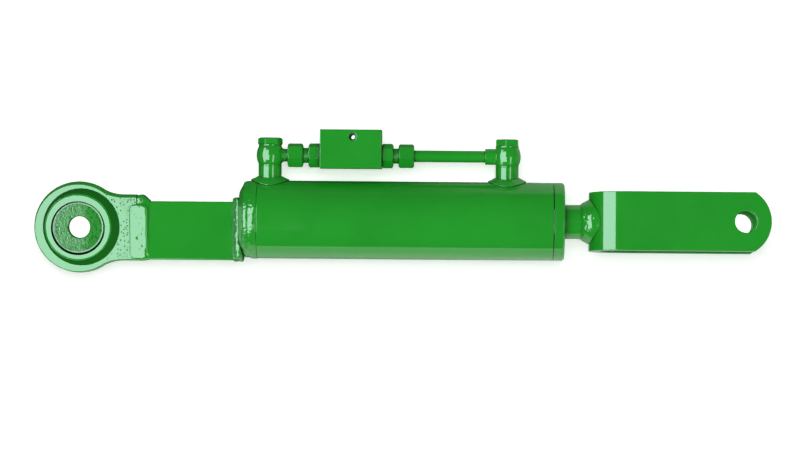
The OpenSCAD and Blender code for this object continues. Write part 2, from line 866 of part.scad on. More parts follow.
rod_bore_r = rod_r + 0.08;
seal_x = gland_x + 4;
seal_len = 7;
seal_deep = 5;
guide_x = gland_x + 16;
guide_len = 12;
guide_deep = 2.5;
wiper_len = 7;
wiper_deep = 4;
gland_ring_x = gland_x + 5;
gland_ring_w = 4;
gland_ring_deep = 2.6;
gland_r = bore_r - 0.1;

module gland() {
    color(PAINT) difference() {
        axis_turned([
            [rod_bore_r, gland_x], [gland_r - 1, gland_x], [gland_r, gland_x + 1],
            [gland_r, gland_ring_x], [gland_r - gland_ring_deep, gland_ring_x],
            [gland_r - gland_ring_deep, gland_ring_x + gland_ring_w], [gland_r, gland_ring_x + gland_ring_w],
            [gland_r, thread_x - 0.2], [gland_thread_r - 0.05, thread_x + 1],
            [gland_thread_r - 0.05, tube_end], [tube_r, tube_end],
            [tube_r, collar_end - collar_bevel], [tube_r - collar_bevel, collar_end],
            [rod_r + wiper_deep, collar_end], [rod_r + wiper_deep, collar_end - wiper_len],
            [rod_bore_r, collar_end - wiper_len]
        ]);
        ring(rod_r, rod_r + seal_deep, seal_x, seal_len);
        ring(rod_r, rod_r + guide_deep, guide_x, guide_len);
        on_axis() for (a = [0, 180]) rotate([a, 0, 0])
            translate([collar_end - 7, (tube_r + rod_r + wiper_deep) / 2, 0])
                along_x() cylinder(d = 6, h = 8);
    }
}

module rod_seal() {
    color(RUBBER) ring(rod_r + run_gap, rod_r + seal_deep, seal_x, seal_len);
}

module rod_guide_ring() {
    color(BEARING) ring(rod_r + run_gap, rod_r + guide_deep, guide_x, guide_len);
}

module rod_wiper() {
    inner = rod_r + run_gap;
    outer = rod_r + wiper_deep;
    start = collar_end - wiper_len;
    color(RUBBER) axis_turned([
        [inner + 1.4, start], [outer, start], [outer, collar_end - 0.6], [inner + 1.8, collar_end - 0.6],
        [inner, collar_end + 1], [inner, collar_end - 1.6]
    ]);
}

module gland_o_ring() {
    color(RUBBER) ring(gland_r - gland_ring_deep, bore_r, gland_ring_x, gland_ring_w);
}

spigot_r = spigot_d / 2;
piston_r = bore_r - 0.4;
seal_w = 9;
seal_root = bore_r - 5.5;
wear_w = 6;
wear_root = bore_r - 2.6;
wear_in = 4;
piston_seal_x = piston_x + (piston_len - seal_w) / 2;
wear_places = [piston_x + wear_in, piston_end - wear_in - wear_w];
o_ring_x = piston_x + piston_len * 0.3;
o_ring_w = 3.2;
o_ring_deep = 2.2;
side_gap = 0.06;

module piston() {
    color(STEEL) difference() {
        axis_turned([
            [spigot_r + 0.02, piston_x], [piston_r - 2, piston_x], [piston_r, piston_x + 1.2],
            [piston_r, piston_end - 1.2], [piston_r - 2, piston_end], [spigot_r + 0.02, piston_end]
        ]);
        ring(seal_root, bore_r + 1, piston_seal_x, seal_w);
        for (x = wear_places) ring(wear_root, bore_r + 1, x, wear_w);
        ring(spigot_r - 1, spigot_r + o_ring_deep, o_ring_x, o_ring_w);
    }
}

module piston_seal() {
    color(RUBBER)
        ring(seal_root + side_gap, bore_r - run_gap, piston_seal_x + side_gap, seal_w - 2 * side_gap);
}

module wear_rings() {
    color(BEARING) for (x = wear_places)
        ring(wear_root + side_gap, bore_r - run_gap, x + side_gap, wear_w - 2 * side_gap);
}

module spigot_o_ring() {
    color(RUBBER) ring(spigot_r, spigot_r + o_ring_deep, o_ring_x, o_ring_w);
}

module piston_nut() {
    color(STEEL) on_axis() translate([nut_x, 0, 0]) along_x() difference() {
        hex_bar(piston_nut_af, piston_nut_h);
        translate([0, 0, -1]) cylinder(r = spigot_r + 0.02, h = piston_nut_h + 2);
    }
}

module rod_blank() {
    axis_turned([
        [0, nut_x + 0.6], [spigot_r - 1, nut_x + 0.6], [spigot_r, nut_x + 1.6], [spigot_r, piston_end],
        [rod_r, piston_end], [rod_r, clevis_x], [0, clevis_x]
    ]);
}

module piston_rod() {
    color(PAINT) rod_blank();
}

// Turns the clevis about the rod's axis, as the free rod end lies.
module rolled() {
    on_axis() rotate([rod_roll, 0, 0]) children();
}

clevis_end = pin_x + clevis_tip;
bend_r = clevis_w / 2;

// The plan of the bent plate, or of the slot between its ears.
module clevis_plan(r, finish) {
    translate([clevis_x + bend_r, 0]) circle(r = r);
    translate([clevis_x + bend_r, -r]) square([finish - clevis_x - bend_r, 2 * r]);
}

// The plate's outline from the side, with the ears' rounded ends.
module ear_outline() {
    half_h = clevis_h / 2;
    arc_x = clevis_end - clevis_end_r;
    corner_x = arc_x + sqrt(pow(clevis_end_r, 2) - pow(half_h, 2));
    intersection() {
        translate([clevis_x - 1, -half_h]) square([clevis_end - clevis_x + 2, clevis_h]);
        union() {
            translate([arc_x, 0]) circle(r = clevis_end_r);
            translate([clevis_x - 1, -half_h]) square([corner_x - clevis_x + 1, clevis_h]);
        }
    }
}

module clevis_blank() {
    rolled() intersection() {
        linear_extrude(clevis_h, center = true) clevis_plan(bend_r, clevis_end);
        rotate([90, 0, 0]) linear_extrude(clevis_w + 2, center = true) ear_outline();
    }
}

module clevis() {
    color(PAINT) difference() {
        clevis_blank();
        rolled() linear_extrude(clevis_h + 2, center = true) clevis_plan(bend_r - clevis_t, clevis_end + 1);
        rolled() translate([pin_x, 0, 0])
            along_y() cylinder(d = clevis_bore_d, h = clevis_w + 2, center = true);
    }
}

module clevis_weld() {
    leg = clevis_weld_leg;
    start = clevis_x - leg - 2.8;
    outer = rod_r + leg;
    foot = clevis_x + bend_r - sqrt(pow(bend_r, 2) - pow(outer, 2));
    color(PAINT) difference() {
        axis_turned([
            [0, start], [rod_r + 0.1, start], [rod_r + leg * 0.3, start + 2.2],
            [rod_r + leg * 0.85, clevis_x - 0.6], [outer, clevis_x + 1.4], [outer, foot], [0, foot]
        ]);
        rod_blank();
        clevis_blank();
    }
}

eye_housing();
ball();
eye_weld();
link_bar();
bar_weld();
end_cap();
cap_weld();
cylinder_tube();
base_boss();
rod_boss();
base_boss_weld();
rod_boss_weld();
base_bolt();
rod_bolt();
sealing_washers();
base_banjo();
rod_banjo();
union_nuts();
cutting_rings();
base_adapter();
rod_adapter();
stud_seals();
line_tube();
valve_block();
valve_seats();
base_poppet();
rod_poppet();
poppet_springs();
pilot_piston();
pilot_seal();
gland();
rod_seal();
rod_wiper();
rod_guide_ring();
gland_o_ring();
piston();
piston_seal();
wear_rings();
spigot_o_ring();
piston_nut();
piston_rod();
clevis();
clevis_weld();
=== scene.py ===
import json
import math

import bpy
from mathutils import Matrix, Vector

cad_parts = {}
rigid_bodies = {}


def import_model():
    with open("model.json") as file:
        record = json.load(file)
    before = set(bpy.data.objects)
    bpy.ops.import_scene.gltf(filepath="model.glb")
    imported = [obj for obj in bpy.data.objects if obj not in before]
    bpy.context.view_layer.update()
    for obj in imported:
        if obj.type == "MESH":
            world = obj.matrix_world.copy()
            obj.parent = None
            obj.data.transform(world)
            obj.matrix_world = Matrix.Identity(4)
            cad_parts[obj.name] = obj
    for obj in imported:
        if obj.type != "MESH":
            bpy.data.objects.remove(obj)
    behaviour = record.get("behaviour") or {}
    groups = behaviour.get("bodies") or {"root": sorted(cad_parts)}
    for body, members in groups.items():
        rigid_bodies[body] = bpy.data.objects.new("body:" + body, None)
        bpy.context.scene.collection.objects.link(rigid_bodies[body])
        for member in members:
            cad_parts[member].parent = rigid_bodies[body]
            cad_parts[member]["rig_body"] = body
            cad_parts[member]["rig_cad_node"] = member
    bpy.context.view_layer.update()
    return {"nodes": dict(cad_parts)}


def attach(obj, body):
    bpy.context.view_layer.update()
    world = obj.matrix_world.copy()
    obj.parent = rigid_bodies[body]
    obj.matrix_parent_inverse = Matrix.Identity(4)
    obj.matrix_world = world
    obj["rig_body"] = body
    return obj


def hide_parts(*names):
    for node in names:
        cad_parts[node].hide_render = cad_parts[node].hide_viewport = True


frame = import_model()
nodes = frame["nodes"]

MM = 0.001

# Places on the part, in metres. Radii are from the pin's axis, and pairs are x and z.
COLLAR_END = 497.1 * MM  # outer face of the gland's collar
SEAM = (485.6 * MM, 486.7 * MM)  # joint between the tube and the collar
BALL_SWING = math.radians(5.5)  # how the ball lies in the eye
BALL_FLAT = 24.0 * MM  # radius of the ball's flats
PAINT_CENTRE = (0.3 * MM, -0.45 * MM)  # circle that the paint on the ball fills
PAINT_REACH = 25.8 * MM
HUB_EDGE = 32.6 * MM  # where the hub's flat face ends
HUB_REACH = 34.1 * MM  # where it looks as if it ended
COVE_CENTRE = (3.0 * MM, 0.2 * MM)  # circle at the foot of the slope round the hub
COVE_FOOT = 39.4 * MM
COVE_SLOPE = math.radians(38)
NECK_START = 43.0 * MM  # where the rough skin of the neck fades in
THROUGH_HOLES = (  # centre and reach of the holes that show the white behind
    ((-5 * MM, 0), 18 * MM),
    ((279 * MM, 94 * MM), 9 * MM),
    ((685 * MM, 9 * MM), 18 * MM),
)

GREEN = (0.013, 0.275, 0.018, 1)
DEEP_GREEN = (0.004, 0.13, 0.007, 1)
# painted shade for corners, pits, low spots and the cove; also the colour of the dark seam line
SHADE_AND_SEAM_DARK = (0.001, 0.016, 0.002, 1)
DUSTY_GREEN = (0.030, 0.26, 0.035, 1)
# a painted highlight: the pale ring near the edge of the paint on the ball's flats
RIM_HIGHLIGHT_GREEN = (0.34, 0.70, 0.40, 1)
CHROME = (0.62, 0.63, 0.64, 1)
STEEL = (0.42, 0.42, 0.43, 1)
SPRING_STEEL = (0.30, 0.29, 0.28, 1)
# the ball's bare sphere: dark steel, made nearly black as painted shade for the gap round the ball
GAP_SHADE_STEEL = (0.03, 0.03, 0.031, 1)
RUBBER = (0.012, 0.012, 0.013, 1)
BEARING = (0.20, 0.095, 0.035, 1)
BLACK = (0, 0, 0, 1)
WHITE = (1, 1, 1, 1)
MINT = (0.78, 1.0, 0.98, 1)
TABLE_GREY = (0.8, 0.8, 0.8, 1)

PAINT_IOR = 1.6
PAINT_RELIEF = 0.02 * MM
METAL_RELIEF = 0.01 * MM
RUBBER_RELIEF = 0.04 * MM
SHADE_REACH = 9 * MM  # how wide a corner or gap gets painted shade in the enamel
TABLE_FACE = 41 * MM  # the table's place along y
MIDDLE = (0.33, 0, 0)  # where the table is centred and the lamps aim

# Noise scales, in waves to the metre
CLOUDS, HAZE, PEEL, DUST = 16, 40, 330, 900
TURNED_RINGS, DRAWN_RINGS, OIL_FILM = 900.0, 1500.0, 30
PEBBLES, PITS = 260, 290
HAMMERING = 420
WELD_LUMPS, WELD_RIPPLES = 120, 420
RUBBER_GRAIN, BEARING_GRAIN = 600, 900


# Helpers for shader trees

def node_of(tree, kind, **settings):
    node = tree.nodes.new(kind)
    for name, value in settings.items():
        setattr(node, name, value)
    return node


def join(tree, value, target):
    """Leads value, a socket or a plain setting, into the target socket."""
    if isinstance(value, bpy.types.NodeSocket):
        tree.links.new(value, target)
    else:
        target.default_value = value


def arithmetic(tree, operation, *values):
    node = node_of(tree, "ShaderNodeMath", operation=operation)
    for socket, value in zip(node.inputs, values):
        join(tree, value, socket)
    return node.outputs[0]


def product(tree, value, *factors):
    for factor in factors:
        value = arithmetic(tree, "MULTIPLY", value, factor)
    return value


def total(tree, value, *others):
    for other in others:
        value = arithmetic(tree, "ADD", value, other)
    return value


def largest(tree, value, *others):
    for other in others:
        value = arithmetic(tree, "MAXIMUM", value, other)
    return value


def rest_of(tree, share):
    """What share leaves of 1."""
    return arithmetic(tree, "SUBTRACT", 1.0, share)


def between(tree, value, low, high, out_low=0.0, out_high=1.0):
    """value eased from out_low at low to out_high at high."""
    node = node_of(tree, "ShaderNodeMapRange", interpolation_type="SMOOTHSTEP", clamp=True)
    settings = {"Value": value, "From Min": low, "From Max": high,
                "To Min": out_low, "To Max": out_high}
    for name, setting in settings.items():
        join(tree, setting, node.inputs[name])
    return node.outputs["Result"]


def speckle(tree, vector, scale, detail=2.0, roughness=0.5):
    """Noise of that many waves in a metre."""
    node = node_of(tree, "ShaderNodeTexNoise")
    settings = {"Vector": vector, "Scale": scale, "Detail": detail, "Roughness": roughness}
    for name, setting in settings.items():
        join(tree, setting, node.inputs[name])
    return node.outputs["Fac"]


def apart(tree, vector):
    node = node_of(tree, "ShaderNodeSeparateXYZ")
    join(tree, vector, node.inputs[0])
    return node.outputs


def together(tree, **parts):
    """A vector from its x, y and z; parts that aren't given are 0."""
    node = node_of(tree, "ShaderNodeCombineXYZ")
    for name, value in parts.items():
        join(tree, value, node.inputs[name.upper()])
    return node.outputs[0]


def from_point(tree, x, z, centre=(0.0, 0.0)):
    """Distance of x, z from a centre."""
    legs = [arithmetic(tree, "SUBTRACT", leg, middle) for leg, middle in zip((x, z), centre)]
    squares = [arithmetic(tree, "POWER", leg, 2) for leg in legs]
    return arithmetic(tree, "SQRT", total(tree, *squares))


def vectors(tree, operation, *values, scale=None):
    node = node_of(tree, "ShaderNodeVectorMath", operation=operation)
    for socket, value in zip(node.inputs, values):
        join(tree, value, socket)
    if scale is not None:
        join(tree, scale, node.inputs["Scale"])
    return node.outputs["Vector"]


def own_normal(tree):
    return node_of(tree, "ShaderNodeTexCoord").outputs["Normal"]


def in_world(tree, vector):
    """A normal of the object as one of the world."""
    turned = node_of(tree, "ShaderNodeVectorTransform", vector_type="NORMAL",
                     convert_from="OBJECT", convert_to="WORLD")
    join(tree, vectors(tree, "NORMALIZE", vector), turned.inputs[0])
    return turned.outputs[0]


def blend_colours(tree, factor, first, second):
    node = node_of(tree, "ShaderNodeMix", data_type="RGBA")
    of_colours = [socket for socket in node.inputs if socket.type == "RGBA"]
    join(tree, factor, node.inputs["Factor"])
    join(tree, first, of_colours[0])
    join(tree, second, of_colours[1])
    return next(socket for socket in node.outputs if socket.type == "RGBA")


def shaded(colour, share):
    return tuple(share * part for part in colour[:3]) + (1,)


def new_group(name, inputs, outputs):
    """A shader group with its named sockets; inputs are (name, type, default)."""
    tree = bpy.data.node_groups.new(name, "ShaderNodeTree")
    for label, kind, default in inputs:
        socket = tree.interface.new_socket(label, in_out="INPUT", socket_type=kind)
        if default is not None:
            socket.default_value = default
    for label, kind in outputs:
        tree.interface.new_socket(label, in_out="OUTPUT", socket_type=kind)
    return tree, node_of(tree, "NodeGroupInput"), node_of(tree, "NodeGroupOutput")


# Effects that several finishes share

def enamel_group():
    """Sprayed enamel: a slowly changing green, with painted shade in recesses, orange peel and dust."""
    tree, given, out = new_group("Sprayed enamel", [
        ("Vector", "NodeSocketVector", None),
        ("Colour", "NodeSocketColor", GREEN),
        ("Peel", "NodeSocketFloat", 1.0),
    ], [("Colour", "NodeSocketColor"), ("Roughness", "NodeSocketFloat"), ("Height", "NodeSocketFloat")])
    vector = given.outputs["Vector"]

    thin = between(tree, speckle(tree, vector, CLOUDS, detail=3), 0.62, 0.30, 0.0, 0.16)
    colour = blend_colours(tree, thin, given.outputs["Colour"], DEEP_GREEN)
    nearby = node_of(tree, "ShaderNodeAmbientOcclusion", samples=8)
    nearby.inputs["Distance"].default_value = SHADE_REACH
    # The gap of a millimetre between the tube and the table gets no painted shade.
    y = apart(tree, vector)["Y"]
    clear_of_table = between(tree, y, TABLE_FACE - 10 * MM, TABLE_FACE - 14 * MM)
    # painted shade: the enamel darkens where other surfaces close in round it
    painted_shade = product(tree, between(tree, nearby.outputs["AO"], 0.86, 0.40), clear_of_table)
    join(tree, blend_colours(tree, painted_shade, colour, SHADE_AND_SEAM_DARK), out.inputs["Colour"])

    dust = between(tree, speckle(tree, vector, DUST, detail=1), 0.74, 0.80)
    haze = between(tree, speckle(tree, vector, HAZE), 0.35, 0.7, 0.03, 0.07)
    roughness = total(tree, haze, product(tree, dust, 0.15), product(tree, painted_shade, 0.4))
    join(tree, roughness, out.inputs["Roughness"])

    peel = product(tree, speckle(tree, vector, PEEL, detail=1.5), given.outputs["Peel"])
    join(tree, total(tree, peel, product(tree, dust, 0.6)), out.inputs["Height"])
    return tree


def grain_group():
    """Turned or ground metal: fine rings round the cylinder's axis and a faint oil film."""
    tree, given, out = new_group("Machined grain", [
        ("Vector", "NodeSocketVector", None),
        ("Rings", "NodeSocketFloat", TURNED_RINGS),
    ], [("Shade", "NodeSocketFloat"), ("Height", "NodeSocketFloat")])
    stretch = node_of(tree, "ShaderNodeMapping", vector_type="POINT")
    join(tree, given.outputs["Vector"], stretch.inputs["Vector"])
    stretch.inputs["Scale"].default_value = (1.0, 0.04, 0.04)
    rings = speckle(tree, stretch.outputs["Vector"], given.outputs["Rings"])
    film = speckle(tree, given.outputs["Vector"], OIL_FILM, detail=3)
    join(tree, product(tree, rings, film), out.inputs["Shade"])
    join(tree, rings, out.inputs["Height"])
    return tree


ENAMEL = enamel_group()
GRAIN = grain_group()


# Finishes

def new_finish(name):
    material = bpy.data.materials.new(name)
    material.use_nodes = True
    tree = material.node_tree
    shader = tree.nodes["Principled BSDF"]
    place = node_of(tree, "ShaderNodeTexCoord").outputs["Object"]
    return material, tree, shader, place


def effect(tree, group, place, **settings):
    """One use of a shared effect at the object's own coordinates."""
    node = node_of(tree, "ShaderNodeGroup", node_tree=group)
    join(tree, place, node.inputs["Vector"])
    for name, value in settings.items():
        node.inputs[name].default_value = value
    return node.outputs


def relief(tree, shader, height, depth, edge=0.0, normal=None):
    """Bump of height times depth. edge is the radius to which paint rounds the edges off, and
    normal takes the place of the surface's own."""
    bump = node_of(tree, "ShaderNodeBump")
    bump.inputs["Strength"].default_value = 1.0
    bump.inputs["Distance"].default_value = depth
    if normal:
        join(tree, normal, bump.inputs["Normal"])
    elif edge:
        rounded = node_of(tree, "ShaderNodeBevel", samples=6)
        rounded.inputs["Radius"].default_value = edge
        join(tree, rounded.outputs["Normal"], bump.inputs["Normal"])
    join(tree, height, bump.inputs["Height"])
    join(tree, bump.outputs["Normal"], shader.inputs["Normal"])


def enamel(name, peel=0.25, edge=0.7 * MM, shape=None):
    """A painted finish. shape, if given, returns the height of what lies below, a mask that darkens the
    paint (painted shade in pits, low spots and the cove, and the dark seam line) and a normal.
    """
    material, tree, shader, place = new_finish(name)
    skin = effect(tree, ENAMEL, place, Peel=peel)
    height, tone, normal = skin["Height"], skin["Colour"], None
    if shape:
        metal, pits, normal = shape(tree, place)
        height = total(tree, height, metal)
        # painted shade, and the dark seam, where that mask is 1
        tone = blend_colours(tree, pits, tone, SHADE_AND_SEAM_DARK)
    join(tree, tone, shader.inputs["Base Color"])
    join(tree, skin["Roughness"], shader.inputs["Roughness"])
    shader.inputs["IOR"].default_value = PAINT_IOR
    relief(tree, shader, height, PAINT_RELIEF, edge, normal)
    return material


def bare_metal(name, colour, roughness, rings):
    """Turned or drawn steel."""
    material, tree, shader, place = new_finish(name)
    grain = effect(tree, GRAIN, place, Rings=rings)
    tone = blend_colours(tree, grain["Shade"], colour, shaded(colour, 0.6))
    gloss = between(tree, grain["Shade"], 0.1, 0.5, roughness, roughness + 0.12)
    join(tree, tone, shader.inputs["Base Color"])
    join(tree, gloss, shader.inputs["Roughness"])
    shader.inputs["Metallic"].default_value = 1.0
    relief(tree, shader, grain["Height"], METAL_RELIEF)
    return material


def soft_finish(name, colour, roughness, scale):
    """Moulded rubber or bearing strip: matt, with a fine mould grain."""
    material, tree, shader, place = new_finish(name)
    grain = speckle(tree, place, scale, detail=3, roughness=0.6)
    pale = tuple(min(1, 1.8 * part + 0.01) for part in colour[:3]) + (1,)
    gloss = between(tree, grain, 0.3, 0.7, roughness - 0.08, roughness + 0.08)
    join(tree, blend_colours(tree, grain, colour, pale), shader.inputs["Base Color"])
    join(tree, gloss, shader.inputs["Roughness"])
    relief(tree, shader, grain, RUBBER_RELIEF)
    return material


def levelled(tree, y, share, turn=0.0):
    """The surface's own normal, brought by share to that of a flat face, turned about z."""
    level = vectors(tree, "SCALE", (-math.sin(turn), math.cos(turn), 0),
                    scale=arithmetic(tree, "SIGN", y))
    own = own_normal(tree)
    step = vectors(tree, "SCALE", vectors(tree, "SUBTRACT", level, own), scale=share)
    return vectors(tree, "ADD", own, step)


def neck_pits(tree, x, y, z, radius):
    """Small pits on the neck's two faces, sunk in and painted dark as shade."""
    spots = node_of(tree, "ShaderNodeTexVoronoi", feature="F1", voronoi_dimensions="2D")
    join(tree, together(tree, x=x, y=z), spots.inputs["Vector"])
    spots.inputs["Scale"].default_value = PITS
    chosen = between(tree, apart(tree, spots.outputs["Color"])["X"], 0.44, 0.46)
    on_face = between(tree, arithmetic(tree, "ABSOLUTE", y), 9.0 * MM, 10.5 * MM)
    on_neck = between(tree, radius, NECK_START, NECK_START + 3 * MM)
    spot = between(tree, spots.outputs["Distance"], 0.24, 0.12)
    return product(tree, spot, chosen, on_face, on_neck)


def casting_shape(tree, place):
    """Pebbled forging skin with small pits on the neck; the cove round the hub is steep. The pits and
    the cove get painted shade.
    """
    x, y, z = apart(tree, place)
    radius = from_point(tree, x, z)
    rough = between(tree, radius, NECK_START + 1.5 * MM, NECK_START + 6 * MM, 0.08, 1.0)
    pebbles = product(tree, speckle(tree, place, PEBBLES, detail=3, roughness=0.6), rough, 3.6)
    pits = neck_pits(tree, x, y, z, radius)
    height = arithmetic(tree, "SUBTRACT", pebbles, product(tree, pits, 12.0))

    foot = from_point(tree, x, z, COVE_CENTRE)
    past_face = between(tree, radius, HUB_REACH - 0.2 * MM, HUB_REACH + 0.2 * MM)
    within_foot = between(tree, foot, COVE_FOOT + 0.3 * MM, COVE_FOOT - 0.5 * MM)
    cove = product(tree, past_face, within_foot)
    past_edge = between(tree, radius, HUB_EDGE - 0.3 * MM, HUB_EDGE + 0.3 * MM)
    brink = product(tree, past_edge, rest_of(tree, past_face))
    outward = vectors(tree, "NORMALIZE", together(tree, x=x, z=z))
    lean = vectors(tree, "SCALE", outward, scale=product(tree, cove, math.tan(COVE_SLOPE)))
    flat = levelled(tree, y, largest(tree, cove, brink))
    normal = in_world(tree, vectors(tree, "ADD", flat, lean))
    # the second value is painted shade: full in the pits, part strength over the cove
    return height, largest(tree, pits, product(tree, cove, 0.62)), normal


def seam_shape(tree, place):
    """The dark joint between the tube and the gland's collar."""
    x = apart(tree, place)["X"]
    line = product(tree, between(tree, x, SEAM[0] - 0.3 * MM, SEAM[0]),
                   between(tree, x, SEAM[1], SEAM[1] - 0.4 * MM))
    return product(tree, line, -12.0), line, None


def bead_shape(tree, place):
    """Weld metal under paint: soft lumps and fine ripples, with painted shade in the ripples' low
    spots.
    """
    lumps = speckle(tree, place, WELD_LUMPS)
    ripples = speckle(tree, place, WELD_RIPPLES)
    height = total(tree, product(tree, lumps, 8.0), product(tree, ripples, 2.0))
    return height, between(tree, ripples, 0.36, 0.24, 0.0, 0.3), None


def part_bare(name, masked, bare_colour, bare_roughness, paint_colour=GREEN, lustre=1.0):
    """Enamel where masked is 1 and bare metal where it is 0. masked also returns the height of what is
    painted, a mask of painted shade, a mask of painted highlight, and a normal. lustre is how metallic
    the metal is."""
    material, tree, shader, place = new_finish(name)
    skin = effect(tree, ENAMEL, place, Colour=paint_colour)
    grain = effect(tree, GRAIN, place)
    mask, shape, hollow_shade, rim_highlight, normal = masked(tree, place)
    bare = rest_of(tree, mask)
    metal = blend_colours(tree, grain["Shade"], bare_colour, shaded(bare_colour, 0.8))
    # painted shade in the low spots of the hammering
    paint = blend_colours(tree, hollow_shade, skin["Colour"], DEEP_GREEN)
    # painted highlight in a ring near the paint's edge
    paint = blend_colours(tree, rim_highlight, paint, RIM_HIGHLIGHT_GREEN)
    gloss = total(tree, product(tree, skin["Roughness"], mask), product(tree, bare, bare_roughness))
    join(tree, blend_colours(tree, mask, metal, paint), shader.inputs["Base Color"])
    join(tree, product(tree, bare, lustre), shader.inputs["Metallic"])
    join(tree, gloss, shader.inputs["Roughness"])
    shader.inputs["IOR"].default_value = PAINT_IOR
    height = product(tree, total(tree, skin["Height"], shape), mask)
    relief(tree, shader, height, PAINT_RELIEF, normal=normal)
    return material


def rod_mask(tree, place):
    """The rod is painted outside the gland and chromed where it slides."""
    painted = between(tree, apart(tree, place)["X"], COLLAR_END, COLLAR_END + 0.3 * MM)
    return painted, 0.0, 0.0, 0.0, None


def ball_mask(tree, place):
    """The ball's hammered flats are painted, with a painted highlight in a ring near the paint's edge,
    and the paint goes on over the start of the sphere, which looks flat there. The rest of the sphere
    is steel darkened as painted shade of the gap."""
    x, y, z = apart(tree, place)
    swung = node_of(tree, "ShaderNodeVectorRotate", rotation_type="Z_AXIS")
    join(tree, place, swung.inputs["Vector"])
    swung.inputs["Angle"].default_value = -BALL_SWING
    across, _, up = apart(tree, swung.outputs["Vector"])
    past_flat = between(tree, from_point(tree, across, up), BALL_FLAT - 0.2 * MM, BALL_FLAT + 0.1 * MM)
    reach = from_point(tree, x, z, PAINT_CENTRE)
    painted = between(tree, reach, PAINT_REACH + 0.2 * MM, PAINT_REACH - 0.2 * MM)
    # painted highlight: a pale ring just inside the paint's edge
    rim_highlight = product(tree, between(tree, reach, PAINT_REACH - 1.5 * MM, PAINT_REACH - 1.0 * MM), 0.9)
    normal = in_world(tree, levelled(tree, y, product(tree, past_flat, painted), BALL_SWING))

    stretch = node_of(tree, "ShaderNodeMapping")
    join(tree, place, stretch.inputs["Vector"])
    stretch.inputs["Rotation"].default_value = (0, math.radians(35), 0)
    stretch.inputs["Scale"].default_value = (1.0, 1.0, 0.55)
    lumps = speckle(tree, stretch.outputs["Vector"], HAMMERING, detail=3, roughness=0.65)
    height = product(tree, lumps, between(tree, x, 2 * MM, 18 * MM, 42.0, 9.0))
    # painted shade in the low spots of the hammered lumps
    hollow_shade = between(tree, lumps, 0.52, 0.36, 0.0, 0.9)
    return painted, height, hollow_shade, rim_highlight, normal


bead_enamel = enamel("green_enamel_on_weld", shape=bead_shape)

FINISHES = {
    enamel("green_enamel"): ["end_cap", "line_tube"],
    enamel("green_enamel_on_fittings", peel=0.35, edge=0.9 * MM): [
        "base_boss", "rod_boss", "base_bolt", "rod_bolt", "sealing_washers",
        "base_banjo", "rod_banjo", "union_nuts", "base_adapter", "rod_adapter"],
    enamel("green_enamel_on_forging", shape=casting_shape): ["eye_housing"],
    enamel("green_enamel_at_seam", shape=seam_shape): ["cylinder_tube", "gland"],
    bead_enamel: [
        "eye_weld", "bar_weld", "cap_weld", "base_boss_weld", "rod_boss_weld", "clevis_weld"],
    enamel("green_enamel_on_plate", edge=1.4 * MM): ["link_bar", "valve_block", "clevis"],
    part_bare("ball_paint_and_steel", ball_mask, GAP_SHADE_STEEL, 0.35, DUSTY_GREEN): ["ball"],
    part_bare("rod_paint_and_chrome", rod_mask, CHROME, 0.12, lustre=0.65): ["piston_rod"],
    bare_metal("turned_steel", STEEL, 0.25, TURNED_RINGS): [
        "cutting_rings", "valve_seats", "base_poppet", "rod_poppet", "pilot_piston", "piston",
        "piston_nut"],
    bare_metal("spring_steel", SPRING_STEEL, 0.3, DRAWN_RINGS): ["poppet_springs"],
    soft_finish("seal_rubber", RUBBER, 0.45, RUBBER_GRAIN): [
        "stud_seals", "pilot_seal", "rod_seal", "rod_wiper", "gland_o_ring", "piston_seal",
        "spigot_o_ring"],
    soft_finish("bearing_strip", BEARING, 0.5, BEARING_GRAIN): ["rod_guide_ring", "wear_rings"],
}
for finish, names in FINISHES.items():
    for name in names:
        slots = nodes[name].data.materials
        slots.clear()
        slots.append(finish)


# Weld beads, modelled from the solids that they stand for

def only(obj):
    """Selects obj alone and makes it active."""
    bpy.ops.object.select_all(action="DESELECT")
    obj.select_set(True)
    bpy.context.view_layer.objects.active = obj


def copy_of(node, name):
    """The node's solid as a new piece of its own, with its doubled corners merged."""
    only(nodes[node])
    bpy.ops.object.duplicate()
    piece = bpy.context.active_object
    piece.name = name
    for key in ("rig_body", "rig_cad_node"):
        if key in piece:
            del piece[key]
    piece.parent = None
    piece.matrix_world = Matrix.Identity(4)
    bpy.ops.object.mode_set(mode="EDIT")
    bpy.ops.mesh.select_all(action="SELECT")
    bpy.ops.mesh.remove_doubles(threshold=0.02 * MM)
    bpy.ops.object.mode_set(mode="OBJECT")
    return piece


def weld_run(place, size, turn):
    """A flat run of weld: a block with its corners rounded along y, then all its edges."""
    bpy.ops.object.select_all(action="DESELECT")
    bpy.ops.mesh.primitive_cube_add(size=1, scale=size)
    run = bpy.context.active_object
    bpy.ops.object.transform_apply(scale=True)
    bpy.ops.object.mode_set(mode="EDIT")
    bpy.ops.mesh.select_mode(type="EDGE")
    bpy.ops.mesh.select_all(action="DESELECT")
    bpy.ops.object.mode_set(mode="OBJECT")
    for edge in run.data.edges:
        start, end = (run.data.vertices[corner].co for corner in edge.vertices)
        edge.select = abs(start.y - end.y) > size[1] / 2
    bpy.ops.object.mode_set(mode="EDIT")
    bpy.ops.mesh.bevel(offset=5.5 * MM, segments=6)
    bpy.ops.object.mode_set(mode="OBJECT")
    rounded = run.modifiers.new("rounded", "BEVEL")
    rounded.width, rounded.segments = 1.6 * MM, 4
    bpy.ops.object.modifier_apply(modifier=rounded.name)
    run.location, run.rotation_euler = place, turn
    bpy.ops.object.transform_apply(location=True, rotation=True)
    return run


